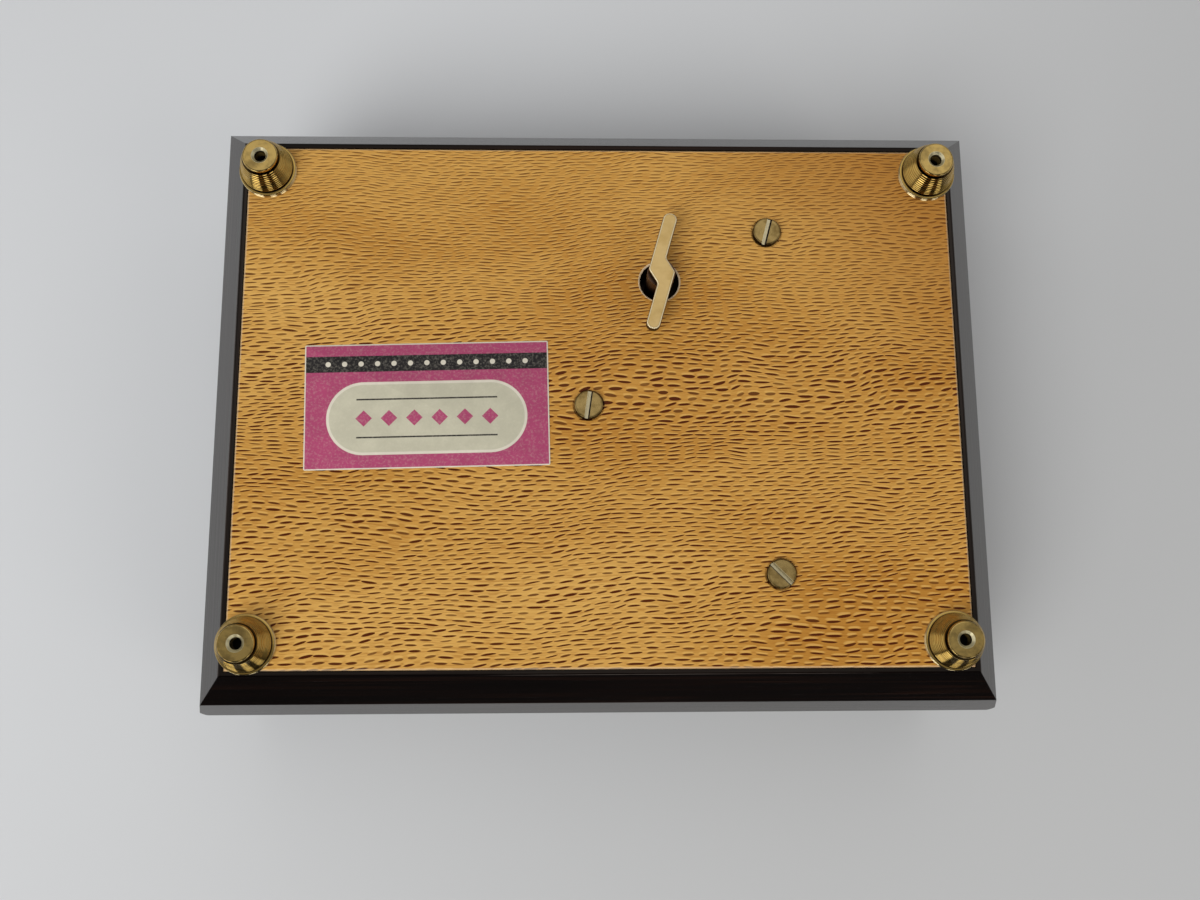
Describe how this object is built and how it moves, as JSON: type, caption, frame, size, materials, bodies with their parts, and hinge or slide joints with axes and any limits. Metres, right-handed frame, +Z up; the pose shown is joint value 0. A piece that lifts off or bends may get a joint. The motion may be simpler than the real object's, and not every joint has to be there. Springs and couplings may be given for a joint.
{
  "type": "wind up music box",
  "caption": "Lacquered wooden music box on turned feet: hinged lid, lined compartment, pinned cylinder movement under glass, wound by an S-shaped key below.",
  "frame": {"origin": "middle of the box's plan, on the plane of the foot tips", "axes": "+X to the right along the longer side, +Y to the back with the hinges, +Z up"},
  "size_m": [0.1678, 0.1288, 0.0702],
  "materials": {
    "lacquered_wood": "dark gloss lacquer",
    "beech": "clear satin varnish",
    "plain_wood": "bare",
    "pane_glass": "clear",
    "felt": "felt",
    "satin": "padded cloth",
    "brass": "polished",
    "steel": "polished",
    "nickel": "nickel plated"
  },
  "bodies": {
    "case": {"front_wall": "lacquered_wood", "back_wall": "lacquered_wood", "left_wall": "lacquered_wood", "right_wall": "lacquered_wood", "bottom_panel": "beech", "partition": "plain_wood", "pane_ledges": "plain_wood", "glass_pane": "pane_glass", "storage_lining": "felt", "foot_front_left": "brass", "foot_front_right": "brass", "foot_back_left": "brass", "foot_back_right": "brass", "foot_pins": "steel", "hinge_case_leaves": "brass", "hinge_pins": "brass", "hinge_case_screws": "brass", "click_screw": "steel", "click_spring": "steel", "bedplate": "brass", "movement_screws": "brass", "barrel_bridge": "brass", "bridge_posts": "steel", "bridge_screws": "steel", "cylinder_bearing_front": "nickel", "cylinder_bearing_back": "nickel", "bearing_screws": "steel", "comb": "steel", "comb_base": "nickel", "comb_screws": "steel", "governor_frame": "nickel", "governor_screws": "steel", "stop_guide": "steel"},
    "lid": {"lid_panel": "lacquered_wood", "lid_lining": "satin", "hinge_lid_leaves": "brass", "hinge_lid_screws": "brass"},
    "winder": {"key_lever": "brass", "key_hub": "steel", "winding_arbor": "steel", "ratchet_wheel": "steel"},
    "click": {"click": "steel"},
    "barrel": {"barrel": "nickel", "barrel_cover": "brass", "mainspring": "steel"},
    "cylinder": {"cylinder": "brass", "cylinder_arbor": "steel", "cylinder_pinion": "brass", "cylinder_wheel": "brass"},
    "governor": {"governor_arbor": "steel", "worm_wheel": "brass"},
    "fan": {"worm_arbor": "steel", "fan": "brass"},
    "stop_rod": {"stop_rod": "steel"}
  },
  "joints": [
    {"name": "lid_hinge", "type": "hinge", "parent": "case", "child": "lid", "pos_m": [0, 0.0627, 0.0541], "axis": [-1, 0, 0], "range_deg": [0, 100]},
    {"name": "key_wind", "type": "hinge", "parent": "case", "child": "winder", "pos_m": [0.0125, -0.02575, 0.008], "axis": [0, 0, 1], "continuous": true},
    {"name": "click_rock", "type": "hinge", "parent": "case", "child": "click", "pos_m": [0.02382, -0.02775, 0.0335], "axis": [0, 0, 1], "range_deg": [-8, 0], "deforming": ["click_spring"]},
    {"name": "barrel_spin", "type": "hinge", "parent": "case", "child": "barrel", "pos_m": [0.0125, -0.02575, 0.0181], "axis": [0, 0, 1], "continuous": true},
    {"name": "cylinder_spin", "type": "hinge", "parent": "case", "child": "cylinder", "pos_m": [0.0125, -0.01175, 0.03335], "axis": [0, 1, 0], "continuous": true},
    {"name": "governor_spin", "type": "hinge", "parent": "case", "child": "governor", "pos_m": [0.00271, 0.03595, 0.02879], "axis": [0, 1, 0], "continuous": true},
    {"name": "fan_spin", "type": "hinge", "parent": "case", "child": "fan", "pos_m": [-0.00289, 0.03595, 0.02879], "axis": [0, 0, 1], "continuous": true},
    {"name": "stop_slide", "type": "slide", "parent": "case", "child": "stop_rod", "axis": [0, 0, 1], "range_m": [0, 0.003]}
  ],
  "couplings": [
    {"joint": "cylinder_spin", "follows": "barrel_spin", "ratio": 4},
    {"joint": "governor_spin", "follows": "barrel_spin", "ratio": -12},
    {"joint": "fan_spin", "follows": "barrel_spin", "ratio": 96},
    {"joint": "stop_slide", "follows": "lid_hinge", "m_per_rad": 0.0017189}
  ]
}
